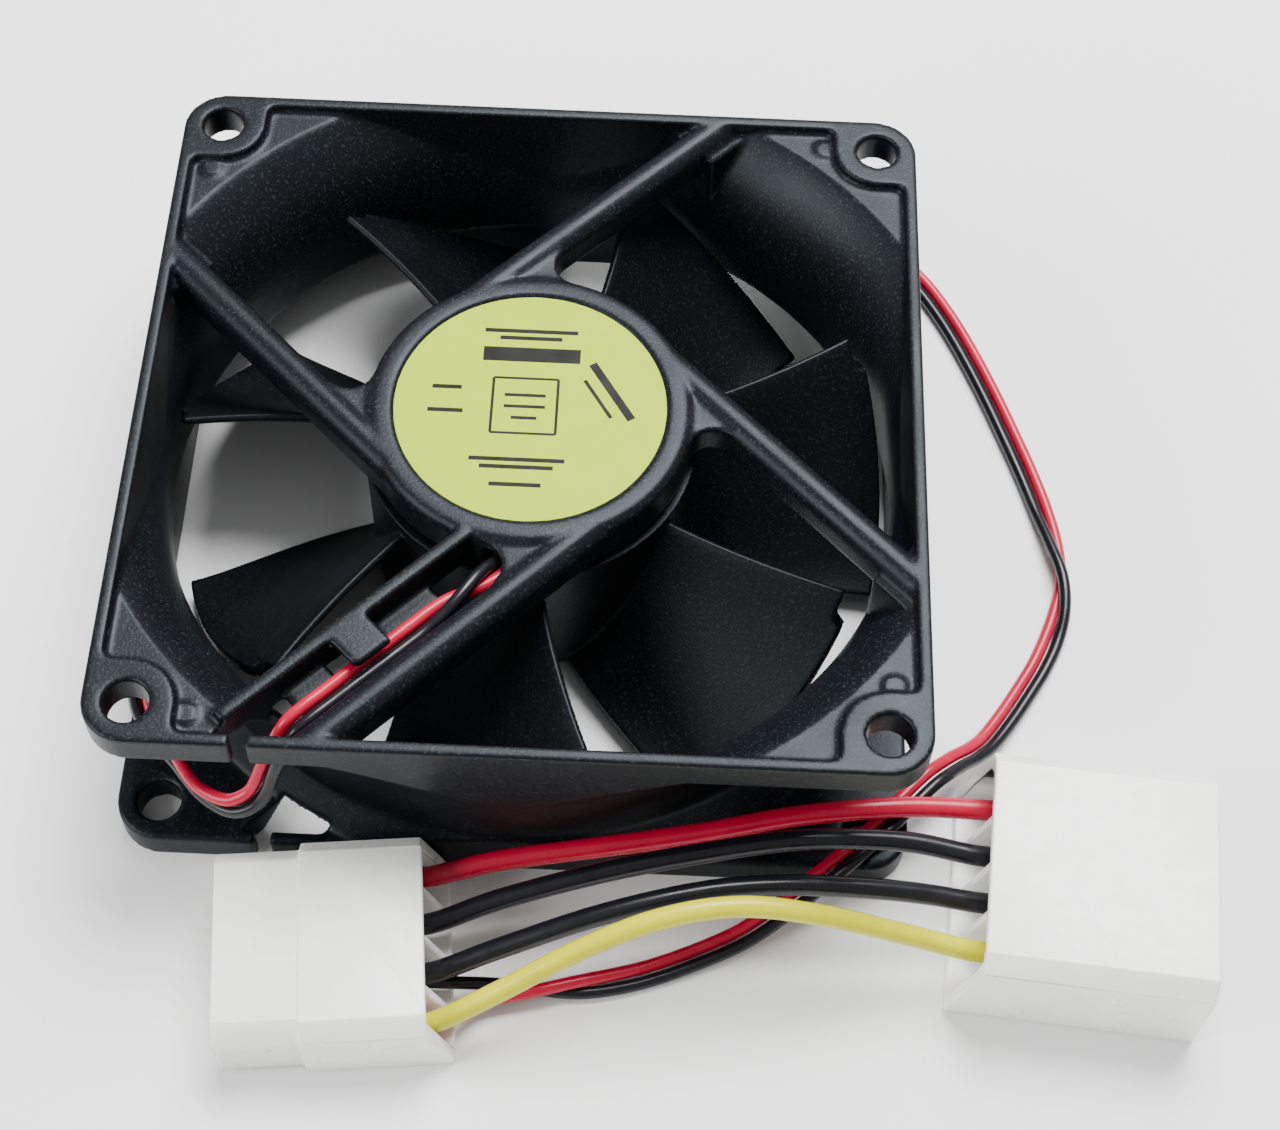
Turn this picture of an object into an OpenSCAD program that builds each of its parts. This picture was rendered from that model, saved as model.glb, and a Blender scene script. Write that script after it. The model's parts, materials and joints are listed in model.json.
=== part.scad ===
// Case fan: square frame, seven-blade impeller, four-pole brushless motor,
// twin lead, and a four-wire jumper between two power connectors.
// Millimetres. Origin at the centre of the intake face, +Z towards the outlet.

/* [Frame] */
// Side of the square flanges
frame_side = 80; // [80:0.1:80.4]
// Depth of the frame along the air path
frame_depth = 25; // [25:0.1:25.2]
// Radius of the flange corners
corner_r = 4.5; // [4:0.1:4.8]
// Thickness of each flange
flange_t = 3.8; // [3.6:0.1:3.9]
// Distance between screw holes
hole_spacing = 71.5; // [71.4:0.1:71.6]
// Diameter of the screw holes
hole_d = 4.4; // [4.3:0.1:4.5]
// Width of the rim round each flange
rim_w = 1.3; // [1.2:0.1:1.4]
// Depth of the corner recesses in the outlet face
recess_depth = 1; // [0.8:0.1:1.1]

/* [Duct] */
// Inside radius at the narrowest part
throat_r = 38.4; // [38.3:0.05:38.5]
// Height where the throat starts to widen towards the outlet
throat_top = 12; // [11.8:0.1:12.2]
// Height where the throat starts to widen towards the intake
throat_low = 7; // [6.8:0.1:7.2]
// Radius of the bell mouth at the outlet
outlet_r = 44.8; // [44.6:0.1:45]
// Radius of the bell mouth at the intake
intake_r = 44.6; // [44.4:0.1:44.8]
// Wall thickness of the duct
duct_wall = 1.25; // [1.2:0.05:1.3]

/* [Struts] */
// Width of a strut
strut_w = 3.6; // [3.4:0.1:3.8]
// Distance from the fan's axis to a strut's centre line
strut_offset = 14.6; // [14.4:0.1:14.8]
// Height of a strut
strut_h = 4.2; // [4:0.1:4.4]

/* [Motor base] */
// Outside radius of the base
base_r = 16.7; // [16.6:0.05:16.8]
// Radius of the label
label_r = 13.9; // [13.8:0.05:14]
// Inside radius of the bearing tube
tube_r = 3.2; // [3.2:0.05:3.25]
// Wall thickness of the bearing tube
tube_wall = 1; // [0.9:0.05:1]

/* [Impeller] */
// Number of blades
blade_count = 7; // [7:1:7]
// Radius at the blade tips
tip_r = 37.5; // [37.4:0.05:37.6]
// Outside radius of the hub
hub_r = 17.2; // [17.1:0.05:17.3]
// Turn of the blades about the axis at rest
blade_phase = 25.1; // [24:0.1:26]

/* [Motor] */
// Outside radius of the stator core
stator_r = 13; // [12.9:0.05:13]
// Inside radius of the ring magnet
magnet_r = 13.6; // [13.6:0.05:13.7]
// Radius of the shaft
shaft_r = 1.5; // [1.49:0.01:1.5]
// Radial clearance of the shaft in its bearing
shaft_gap = 0.03; // [0.02:0.01:0.05]

/* [Lead and jumper] */
// Diameter of each wire of the fan lead
lead_d = 1.3; // [1.2:0.1:1.3]
// Distance between the two wires of the lead, centre to centre
lead_pitch = 1.46; // [1.44:0.01:1.5]
// Diameter of the jumper wires
jumper_d = 2.1; // [2:0.1:2.2]

/* [Connectors] */
// Distance between neighbouring contacts
contact_pitch = 5.08; // [5.08:0.01:5.08]
// Length of the socket connector
socket_l = 20.2; // [20:0.1:20.6]
// Width of the socket connector
socket_w = 20.6; // [20.4:0.1:20.8]
// Height of the socket connector
socket_h = 9.4; // [9.2:0.1:9.5]
// Length of the pin connector
pin_l = 22; // [21.6:0.1:22.4]
// Width of the pin connector
pin_w = 23.6; // [23.5:0.1:23.8]
// Height of the pin connector
pin_h = 12.2; // [12.1:0.1:12.4]

/* [Hidden] */
$fn = 96;
eps = 0.01;
half = frame_side / 2;
inner = half - rim_w;
top = frame_depth;
hole_at = hole_spacing / 2;
turns = [0, 90, 180, 270];
pad_r = 4.6;
label_t = 0.2;
label_recess = 0.5;

// The strut beside the lead is the third one. Its frame has X along the
// strut, away from the axis, and Y from the axis towards the strut.
lead_turn = 225;
channel_in = 6.25;
channel_out = 7.75;
strut_in = strut_offset - strut_w / 2;
foot_in = 11.8;

// Bell mouth: an arc that leaves the throat along the axis.
bell_run = top - recess_depth - throat_top;
bell_rise = outlet_r - throat_r;
bell_angle = 2 * atan(bell_rise / bell_run);
bell_arc = bell_run / sin(bell_angle);

// Motor stack, from the intake side to the outlet side.
hub_floor = 1;
hub_top = 19.4;
yoke_floor = 2.8;
yoke_top = 18.9;
magnet_low = 6;
magnet_top = 17.5;
tube_low = 7;
core_low = 9.5;
core_top = 15.5;
insulator_t = 1;
board_low = 19.2;
board_t = 1;
base_low = 20.2;
base_ceiling = 23.2;
bearing_low = 8.4;
bearing_top = 19.5;
washer_t = 0.4;
clip_low = 20.2;
shaft_top = 21.2;
pin_ring = 6.4;
solder_spots = [[-2.6, -11.6], [1.2, -12.4]];

// Blades, as a grid of rows along the span and columns along the chord.
blade_root_r = hub_r - 0.6;
blade_rows = 8;
blade_cols = 12;
blade_low = 2.3;
blade_rise = 16;

// Connectors: place of the rear face's centre, and turn about +Z.
socket_place = [-7.4, -50.7, 0];
socket_turn = 186;
pin_place = [46.9, -41.5, 0];
pin_turn = -5;
connector_wall = 1.2;
chamfer = 1.6;
terminal_back = 3.6;
bore_r = 1.9;
lanes = [-1.5, -0.5, 0.5, 1.5];

// Lead: x, y, z and the turn of the wire pair about its own direction.
lead_route = [
    [-0.6, -15.4, 22.1, 180], [-2, -17.8, 22.3, 190], [-4, -20, 22.9, 250],
    [-6.4, -22.4, 23.1, 320], [-9.2, -25.2, 22.7, 360], [-13.3, -29.3, 22.7, 360],
    [-17.2, -33.2, 22.7, 360], [-20.2, -36.2, 22.5, 360], [-21.7, -37.7, 20.2, 360],
    [-22.9, -38.9, 17.6, 365], [-24.2, -40.2, 14.9, 390], [-26.8, -40.6, 13.3, 430],
    [-30.2, -38.6, 12.4, 450], [-33, -35, 11.4, 440], [-35.5, -31.6, 10.4, 410],
    [-37.6, -28.2, 9.4, 380], [-39.2, -22.4, 7.8, 365], [-41.2, -14, 5.8, 360],
    [-42.2, 0, 3.4, 360], [-42.6, 14, 1.6, 360], [-42.6, 25, 1, 360],
    [-42.2, 33.5, 0.9, 360], [-40.5, 39.5, 0.8, 360], [-36, 42.6, 0.8, 360],
    [-26, 45.4, 0.8, 360],
    [-10, 46.6, 1.1, 330], [6, 46.6, 1.45, 270], [22, 46.2, 1.1, 210],
    [34, 44, 0.8, 180], [41, 39.8, 0.8, 180], [45.6, 33.6, 0.8, 180],
    [49.6, 25, 0.8, 180], [53.2, 15.2, 0.8, 180], [56.2, 5.6, 0.8, 190],
    [57.8, -3.6, 1.45, 270], [56.4, -10.8, 0.8, 350], [53.2, -17.2, 0.8, 360],
    [48.8, -24, 1.6, 360], [45.6, -27, 3.2, 360], [42.4, -30, 4.6, 360],
    [38.4, -34.4, 4.7, 360], [35.2, -37.8, 4.7, 360], [31.4, -41.4, 4.7, 360],
    [27.6, -44.4, 3.6, 360], [23, -47.2, 1.6, 360], [14.6, -50.8, 0.8, 370],
    [7.6, -52.8, 1.35, 420], [2.2, -53.4, 1.5, 500]
];
black_start = [[-2.6, -10.8, 21.35], [-2.2, -13, 21.5]];
red_start = [[1.2, -11.6, 21.35], [0.9, -13.4, 21.5]];
black_end = [[-1.6, -53.2, 2.2], [-5, -53.5, 2.8]];
red_end = [[-1.6, -55, 2], [-5, -57.4, 2.7]];

// Middle of each jumper wire, from the socket connector to the pin connector.
red_middle = [
    [-7.6, -43.2, 4.6], [-0.8, -41.8, 6], [9, -40.6, 7.6], [18.9, -38.8, 8],
    [28.8, -36.3, 7.8], [39, -34.4, 6.8], [46.6, -34, 6.2]
];
inner_black_middle = [
    [-7.2, -48.3, 4.8], [-0.5, -46.2, 6.6], [9.2, -43.9, 8.8], [18.9, -41.7, 9.6],
    [28.7, -39.6, 9.2], [38.8, -38.4, 7.4], [46.2, -39, 6.2]
];
outer_black_middle = [
    [-6.8, -53.4, 4.8], [-0.1, -51.4, 7], [9.4, -48.8, 10], [18.9, -46.4, 11],
    [26.6, -45.1, 10.6], [34.5, -44.3, 9], [40.6, -43.9, 7.4], [45.8, -44, 6.2]
];
yellow_middle = [
    [-6.2, -58.4, 4.8], [0.2, -56, 7.6], [7.7, -53, 11.4], [15.1, -50.4, 13.5],
    [22.6, -48.9, 13.8], [30.3, -48.6, 12], [38.3, -48.8, 9], [45.4, -49.1, 6.2]
];

// ---- shared shapes ----

module tube(outer_r, inner_r, low, high) {
    translate([0, 0, low]) difference() {
        cylinder(r = outer_r, h = high - low);
        translate([0, 0, -1]) cylinder(r = inner_r, h = high - low + 2);
    }
}

module block(low, high) {
    translate(low) cube(high - low);
}

// ---- frame ----

module rounded_square() {
    square([frame_side - 2 * corner_r, frame_side], center = true);
    square([frame_side, frame_side - 2 * corner_r], center = true);
    for (a = turns)
        rotate(a) translate([half - corner_r, half - corner_r]) circle(r = corner_r);
}

// Raised pad round one screw hole, with small fillets where it meets the rim.
module pad() {
    edge = hole_at - pad_r;
    fillet = 1.2;
    translate([hole_at, hole_at]) circle(r = pad_r, $fn = 48);
    translate([hole_at, edge]) square([half - hole_at, half - edge]);
    translate([edge, hole_at]) square([half - edge, half - hole_at]);
    for (m = [0, 1]) mirror([m, -m]) difference() {
        translate([edge - fillet, inner - fillet]) square([fillet, fillet]);
        translate([edge - fillet, inner - fillet]) circle(r = fillet, $fn = 32);
    }
}

// Half section of the air passage, or of the duct's outside when wall > 0.
module duct_section(wall) {
    centre = throat_r + bell_arc;
    low_slope = (intake_r - throat_r) / throat_low;
    square([throat_r + wall, top]);
    translate([0, throat_top]) difference() {
        square([outlet_r + wall, bell_run]);
        translate([centre, 0]) circle(r = bell_arc - wall);
    }
    polygon([[0, 0], [intake_r + wall, 0], [throat_r + wall, throat_low], [0, throat_low]]);
    if (wall == 0) {
        translate([0, top - recess_depth]) square([outlet_r, recess_depth + 1]);
        polygon([[0, -1], [intake_r + low_slope, -1], [intake_r, 0], [0, 0]]);
    }
}

module square_prism(side, low, high) {
    translate([-side / 2, -side / 2, low]) cube([side, side, high - low]);
}

module air_passage() {
    intersection() {
        rotate_extrude() duct_section(0);
        square_prism(2 * inner, -2, top + 2);
    }
}

module duct_outside() {
    intersection() {
        rotate_extrude() duct_section(duct_wall);
        square_prism(frame_side, 0, top);
    }
}

module flange(low) {
    translate([0, 0, low]) linear_extrude(flange_t) rounded_square();
}

// Openings in the corner where the lead leaves the duct, on both flanges.
module lead_openings() {
    cut_r = 41.75;
    slot = [-25.6, -24.1];
    intersection() {
        rotate([0, 0, lead_turn]) block([39.9, channel_out, 15.5], [52, strut_in, top + 1]);
        square_prism(2 * inner, 0, top + 2);
    }
    intersection() {
        rotate([0, 0, lead_turn]) block([36, 8.2, -1], [52, 13.9, flange_t + 2.2]);
        difference() {
            square_prism(2 * inner, -2, top);
            translate([0, 0, -3]) cylinder(r = cut_r, h = top);
        }
    }
    for (z = [-1, top - flange_t - eps])
        block([slot[0], -half - 1, z], [slot[1], -inner + 0.2, z + flange_t + 1 + eps]);
}

// One strut along X, rounded on top, with a fillet where it meets the base.
// Its foot widens it where it meets the duct, from foot_in outwards.
module strut(foot_in) {
    bar_r = strut_w / 2;
    reach = half + 8;
    foot_from = 37;
    foot_out = 17.4;
    fillet = 2.5;
    centre_y = strut_in - fillet;
    centre_x = sqrt(pow(base_r + fillet, 2) - pow(centre_y, 2));
    meet_x = sqrt(pow(base_r, 2) - pow(strut_in, 2));
    touch = base_r / (base_r + fillet);
    translate([0, strut_offset, top - bar_r]) rotate([0, 90, 0])
        cylinder(r = bar_r, h = reach, $fn = 48);
    block([0, strut_in, top - strut_h], [reach, strut_in + strut_w, top - bar_r]);
    block([foot_from, foot_in, throat_top + 2], [reach, foot_out, top - 1.7]);
    translate([0, 0, top - strut_h]) linear_extrude(strut_h - 0.6) difference() {
        polygon([
            [meet_x - 1, strut_in + 1], [centre_x, strut_in + 1], [centre_x, centre_y],
            [centre_x * touch, centre_y * touch], [meet_x - 1, strut_in - 3]
        ]);
        translate([centre_x, centre_y]) circle(r = fillet, $fn = 48);
    }
}

module motor_base() {
    edge = 1.2;
    skirt_in = base_r - 1.3;
    rotate_extrude() difference() {
        union() {
            translate([0, base_ceiling]) square([base_r - edge, top - base_ceiling]);
            translate([skirt_in, base_low]) square([base_r - skirt_in, top - edge - base_low]);
            translate([base_r - edge, top - edge]) circle(r = edge, $fn = 48);
            translate([tube_r, tube_low]) square([tube_wall, top - 1 - tube_low]);
        }
        translate([0, top - label_recess]) square([label_r + 0.15, label_recess + 1]);
        translate([0, tube_low - 1]) square([tube_r, base_ceiling + 1 - tube_low]);
    }
}

// Passage for the lead out of the motor base.
module lead_notch() {
    rotate(lead_turn) block([8, 9, base_low - 1], [17.6, strut_in - 0.05, base_ceiling]);
}

module cable_channel() {
    floor_z = 22;
    block([14.6, channel_in, 20.5], [45.2, channel_out, top]);
    block([20.4, channel_out - 0.2, floor_z - 1], [27.4, strut_in + 0.2, floor_z]);
    block([33.4, channel_out - 0.2, floor_z - 1], [38.4, strut_in + 0.2, floor_z]);
    translate([27.9, channel_out - 0.2, top - 1]) difference() {
        cube([4.4, 4, 1]);
        translate([3.6, 3.2, -1]) difference() {
            cube([1, 1, 3]);
            cylinder(r = 0.8, h = 9, center = true, $fn = 32);
        }
    }
}

module fan_frame() {
    color([0.09, 0.09, 0.1]) {
        difference() {
            union() {
                flange(0);
                flange(top - flange_t);
                duct_outside();
            }
            air_passage();
            translate([0, 0, top - recess_depth]) linear_extrude(2) difference() {
                square(2 * inner, center = true);
                for (a = turns) rotate(a) pad();
            }
            for (a = turns) rotate(a) translate([hole_at, hole_at, -1])
                cylinder(d = hole_d, h = top + 2);
            lead_openings();
        }
        difference() {
            intersection() {
                union() {
                    for (a = turns) rotate(a + 45)
                        strut(a + 45 == lead_turn ? strut_in : foot_in);
                    rotate(lead_turn) cable_channel();
                }
                square_prism(2 * inner + 0.4, 0, top);
                union() {
                    rotate_extrude() duct_section(duct_wall / 2);
                    square_prism(frame_side, top - flange_t, top);
                }
            }
            translate([0, 0, tube_low - 1])
                cylinder(r = base_r - 0.6, h = base_ceiling + 1 - tube_low);
            lead_notch();
            translate([0, 0, top - label_recess]) cylinder(r = label_r + 0.15, h = 2);
        }
        difference() {
            motor_base();
            lead_notch();
        }
        for (a = turns) rotate(a) translate([36.4, -30.2, top - recess_depth - 0.2])
            cylinder(r = 1.1, h = 0.5, $fn = 32);
    }
}

module label() {
    color([0.88, 0.98, 0.45]) translate([0, 0, top - label_recess]) cylinder(r = label_r, h = label_t);
}

// ---- motor, fixed side ----

module sleeve_bearing() {
    color([0.55, 0.42, 0.25]) tube(tube_r, shaft_r + shaft_gap, bearing_low, bearing_top);
}

module oil_ring() {
    color([0.12, 0.1, 0.1]) tube(tube_r, shaft_r + 0.3, tube_low + 0.2, bearing_low);
}

module thrust_washer() {
    color([0.85, 0.82, 0.7]) tube(tube_r, shaft_r + 0.3, bearing_top, bearing_top + washer_t);
}

module stator_tooth(half_w, r) {
    translate([tube_r + tube_wall + 0.4, -half_w, 0]) square([r - tube_r - tube_wall - 0.4, 2 * half_w]);
}

module stator_section() {
    shoe_half = 39;
    difference() {
        union() {
            circle(r = 6);
            for (a = turns) rotate(a) stator_tooth(2, 12);
            for (a = turns) rotate(a) intersection() {
                difference() {
                    circle(r = stator_r);
                    circle(r = 11.2);
                }
                polygon([[0, 0], [20, -20 * tan(shoe_half)], [20, 20 * tan(shoe_half)]]);
            }
        }
        circle(r = tube_r + tube_wall);
    }
}

module stator_core() {
    color([0.45, 0.46, 0.48]) translate([0, 0, core_low])
        linear_extrude(core_top - core_low) stator_section();
}

module insulator(low, wall_low) {
    translate([0, 0, low]) linear_extrude(insulator_t) difference() {
        union() {
            circle(r = 7.2);
            for (a = turns) rotate(a) stator_tooth(2.4, 11);
        }
        circle(r = tube_r + tube_wall);
    }
    for (a = turns) rotate(a) translate([10.7, -4, wall_low]) cube([0.6, 8, insulator_t + 1.2]);
}

module lower_insulator() {
    color([0.9, 0.88, 0.8]) insulator(core_low - insulator_t, core_low - insulator_t - 1.2);
}

module upper_insulator() {
    color([0.9, 0.88, 0.8]) insulator(core_top, core_top);
}

module stator_coils() {
    from = 7.4;
    to = 10.2;
    color([0.72, 0.36, 0.14]) for (a = turns) rotate(a) difference() {
        translate([from, -4.2, core_low - 2.5]) cube([to - from, 8.4, core_top - core_low + 5]);
        translate([from - 1, -2.45, core_low - 1.05]) cube([to - from + 2, 4.9, core_top - core_low + 2.1]);
    }
}

module winding_pins() {
    color([0.8, 0.78, 0.7]) for (a = turns) rotate(a + 45)
        translate([pin_ring, 0, core_top + insulator_t])
            cylinder(r = 0.3, h = board_low + board_t + 0.8 - core_top - insulator_t, $fn = 24);
}

module circuit_board() {
    color([0.1, 0.4, 0.22]) translate([0, 0, board_low]) difference() {
        cylinder(r = 14.6, h = board_t);
        translate([0, 0, -1]) cylinder(r = tube_r + tube_wall + 0.2, h = 4);
        for (a = turns) rotate(a + 45) translate([pin_ring, 0, -1]) cylinder(r = 0.35, h = 4, $fn = 24);
        rotate(70) translate([13, -3, -1]) cube([4, 6, 4]);
    }
}

module hall_sensor() {
    color([0.1, 0.1, 0.1]) rotate(45) translate([10.5, -2, board_low - 1.6]) cube([1.6, 4, 1.6]);
}

module driver_chip() {
    color([0.1, 0.1, 0.1]) rotate(135) {
        translate([9, -2.4, board_low - 1.7]) cube([3.8, 4.8, 1.5]);
        for (x = [8.6, 12.8], y = [-1.8, -0.6, 0.6, 1.8])
            translate([x, y - 0.2, board_low - 1]) cube([0.4, 0.4, 1]);
    }
}

module capacitor() {
    color([0.72, 0.6, 0.42]) rotate(-45) {
        translate([9.6, -1.4, board_low - 1.3]) cube([1.8, 2.8, 1.3]);
    }
}

module solder_joints() {
    color([0.78, 0.78, 0.8]) for (p = solder_spots)
        translate([p[0], p[1], board_low + board_t]) cylinder(r1 = 1, r2 = 0.5, h = 0.6, $fn = 32);
}

// ---- rotor ----

// Blade surface: s runs from root to tip, t from the intake edge to the outlet edge.
function blade_r(s) = blade_root_r + s * (tip_r - blade_root_r);
function blade_az(s, t) =
    let (out = -6 * (1 - s), in = -36.5 - 12 * pow(1 - s, 1.5))
    in + t * (out - in);
function blade_z(t) = blade_low + blade_rise * pow(t, 1.45);
function blade_half(t) = 0.35 + 0.45 * sqrt(sin(180 * t));
function blade_mid(s, t) =
    [blade_r(s) * cos(blade_az(s, t)), blade_r(s) * sin(blade_az(s, t)), blade_z(t)];

// Direction across the blade: up, and back against the surface's rise.
function blade_across(s, t) =
    let (
        d = 0.01,
        run = blade_r(s) * (blade_az(s, t + d) - blade_az(s, t - d)) * PI / 180,
        rise = blade_z(min(t + d, 1 + d)) - blade_z(max(t - d, 0)),
        len = norm([run, rise]),
        az = blade_az(s, t)
    )
    [rise / len * sin(az), -rise / len * cos(az), run / len];

function blade_side(sign) = [
    for (i = [0 : blade_rows], j = [0 : blade_cols])
        let (s = i / blade_rows, t = j / blade_cols)
        blade_mid(s, t) + sign * blade_half(t) * blade_across(s, t)
];

module blade() {
    row = blade_cols + 1;
    count = row * (blade_rows + 1);
    points = concat(blade_side(1), blade_side(-1));
    faces = concat(
        [for (i = [0 : blade_rows - 1], j = [0 : blade_cols - 1])
            [i * row + j, i * row + j + 1, (i + 1) * row + j]],
        [for (i = [0 : blade_rows - 1], j = [0 : blade_cols - 1])
            [(i + 1) * row + j, i * row + j + 1, (i + 1) * row + j + 1]],
        [for (i = [0 : blade_rows - 1], j = [0 : blade_cols - 1])
            [count + i * row + j + 1, count + i * row + j, count + (i + 1) * row + j]],
        [for (i = [0 : blade_rows - 1], j = [0 : blade_cols - 1])
            [count + i * row + j + 1, count + (i + 1) * row + j, count + (i + 1) * row + j + 1]],
        [for (i = [0 : blade_rows - 1]) for (end = [0, blade_cols]) for (half = [0, 1])
            let (
                a = i * row + end,
                b = (i + 1) * row + end,
                tri = half == 0 ? [a, b, count + a] : [b, count + b, count + a]
            )
            end == 0 ? tri : [tri[2], tri[1], tri[0]]],
        [for (j = [0 : blade_cols - 1]) for (end = [0, blade_rows]) for (half = [0, 1])
            let (
                a = end * row + j,
                b = end * row + j + 1,
                tri = half == 0 ? [b, a, count + a] : [b, count + a, count + b]
            )
            end == 0 ? tri : [tri[2], tri[1], tri[0]]]
    );
    polyhedron(points = points, faces = faces, convexity = 4);
}

module impeller() {
    wall = 1.1;
    edge = 1.2;
    color([0.08, 0.08, 0.09]) difference() {
        union() {
            rotate_extrude() {
                difference() {
                    union() {
                        translate([0, hub_floor + edge]) square([hub_r, hub_top - hub_floor - edge]);
                        translate([0, hub_floor]) square([hub_r - edge, edge + 0.1]);
                        translate([hub_r - edge, hub_floor + edge]) circle(r = edge, $fn = 48);
                    }
                    translate([0, yoke_floor]) square([hub_r - wall, hub_top]);
                }
                translate([0, yoke_floor - 0.1]) square([4.2, 3.1]);
            }
            for (k = [0 : blade_count - 1]) rotate(blade_phase + k * 360 / blade_count) blade();
        }
        translate([0, 0, 1.6]) cylinder(r = 3, h = 6);
        tube(tip_r + 5, tip_r - 1.2, 16, 22);
    }
}

module rotor_yoke() {
    outer = hub_r - 1.15;
    color([0.62, 0.63, 0.65]) difference() {
        tube(outer, 4.25, yoke_floor, yoke_top);
        translate([0, 0, yoke_floor + 0.9]) cylinder(r = outer - 0.95, h = 30);
    }
}

module ring_magnet() {
    color([0.2, 0.18, 0.17]) tube(hub_r - 2.1, magnet_r, magnet_low, magnet_top);
}

module rotor_shaft() {
    groove = 0.35;
    color([0.75, 0.76, 0.78]) rotate_extrude($fn = 64) difference() {
        union() {
            translate([0, 2]) square([shaft_r, shaft_top - 2 - groove]);
            polygon([
                [0, shaft_top - groove], [shaft_r, shaft_top - groove],
                [shaft_r - groove, shaft_top], [0, shaft_top]
            ]);
        }
        translate([shaft_r - groove, clip_low]) square([groove + 1, 0.4]);
    }
}

module hub_bush() {
    color([0.8, 0.66, 0.34]) tube(3, shaft_r, 1.6, 5.6);
}

module retaining_clip() {
    color([0.2, 0.2, 0.22]) difference() {
        tube(2.6, shaft_r - 0.35, clip_low, clip_low + 0.4);
        translate([0, -0.6, clip_low - 1]) cube([4, 1.2, 3]);
    }
}

// ---- wires ----

function unit(v) = v / norm(v);
function tangent(list, i) =
    unit(pos(list, min(i + 1, len(list) - 1)) - pos(list, max(i - 1, 0)));
function pos(list, i) = [list[i][0], list[i][1], list[i][2]];

// Route of one wire of the pair: side is 1 for red and -1 for black.
function pair_route(side) =
    let (centre = spline(lead_route, 2))
    [
        for (i = [0 : len(centre) - 1])
            let (
                t = tangent(centre, i),
                right = unit(cross(t, [0, 0, 1])),
                up = cross(right, t),
                roll = centre[i][3],
                off = side * lead_pitch / 2 * (cos(roll) * right + sin(roll) * up),
                p = pos(centre, i) + off
            )
            [p[0], p[1], max(p[2], lead_d / 2 + 0.02)]
    ];

// Smooth curve through the points, with a few steps in each span.
function spline(p, steps) =
    let (n = len(p) - 1)
    concat(
        [for (i = [0 : n - 1]) for (k = [0 : steps - 1])
            let (
                a = p[max(i - 1, 0)], b = p[i], c = p[i + 1], d = p[min(i + 2, n)],
                t = k / steps
            )
            0.5 * ((2 * b) + (c - a) * t + (2 * a - 5 * b + 4 * c - d) * t * t
                + (3 * b - a - 3 * c + d) * t * t * t)],
        [p[n]]
    );

// Ring directions that turn as little as possible from ring to ring.
function carry(path, i, side) =
    i >= len(path) ? [] :
    let (
        t = unit(path[min(i + 1, len(path) - 1)] - path[max(i - 1, 0)]),
        s = unit(side - (side * t) * t)
    )
    concat([[s, cross(t, s)]], carry(path, i + 1, s));

module wire(path, d) {
    sides = 8;
    n = len(path);
    frames = carry(path, 0, [0.02, 0.03, 1]);
    points = [
        for (i = [0 : n - 1], k = [0 : sides - 1])
            path[i] + d / 2 * (cos(k * 360 / sides) * frames[i][0] + sin(k * 360 / sides) * frames[i][1])
    ];
    walls = [
        for (i = [0 : n - 2], k = [0 : sides - 1])
            let (a = i * sides + k, b = i * sides + (k + 1) % sides)
            [a, a + sides, b + sides, b]
    ];
    ends = [[for (k = [0 : sides - 1]) k], [for (k = [sides - 1 : -1 : 0]) (n - 1) * sides + k]];
    polyhedron(points = points, faces = concat(walls, ends), convexity = 10);
}

module lead_red() {
    route = concat(red_start, pair_route(1), red_end, [lead_end(1.5)]);
    color([0.75, 0.1, 0.14]) wire(route, lead_d);
}

module lead_black() {
    route = concat(black_start, pair_route(-1), black_end, [lead_end(0.5)]);
    color([0.06, 0.06, 0.07]) wire(route, lead_d);
}

module jumper(middle, lane) {
    from = terminal_at(socket_place, socket_turn, lane, socket_h / 2);
    to = terminal_at(pin_place, pin_turn, -lane, pin_h / 2);
    wire(spline(concat([from], middle, [to]), 2), jumper_d);
}

module jumper_red() {
    color([0.78, 0.08, 0.14]) jumper(red_middle, -1.5);
}

module jumper_black_inner() {
    color([0.06, 0.06, 0.07]) jumper(inner_black_middle, -0.5);
}

module jumper_black_outer() {
    color([0.06, 0.06, 0.07]) jumper(outer_black_middle, 0.5);
}

module jumper_yellow() {
    color([0.93, 0.9, 0.25]) jumper(yellow_middle, 1.5);
}

// ---- connectors ----
// Each one is drawn with its wires entering at x = 0 and its mouth at high x.

// Where a wire meets its terminal inside a connector.
function terminal_at(place, turn, lane, z) =
    let (y = lane * contact_pitch)
    [
        place[0] + terminal_back * cos(turn) - y * sin(turn),
        place[1] + terminal_back * sin(turn) + y * cos(turn),
        z
    ];

// The lead's wires meet the terminals just below the jumper wires.
function lead_end(lane) =
    terminal_at(socket_place, socket_turn, lane, socket_h / 2 - (jumper_d + lead_d) / 2 - 0.05);

module in_place(place, turn) {
    translate(place) rotate([0, 0, turn]) children();
}

module along_lanes(z) {
    for (k = lanes) translate([0, k * contact_pitch, z]) rotate([0, 90, 0]) children();
}

module side_plate(y, thick, points) {
    translate([0, y + thick, 0]) rotate([90, 0, 0]) linear_extrude(thick) polygon(points);
}

// A bar along X with chamfers along both upper edges.
module connector_block(l, w, h) {
    rotate([90, 0, 90]) linear_extrude(l) polygon([
        [-w / 2, 0], [w / 2, 0], [w / 2, h - chamfer],
        [w / 2 - chamfer, h], [chamfer - w / 2, h], [-w / 2, h - chamfer]
    ]);
}

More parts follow.
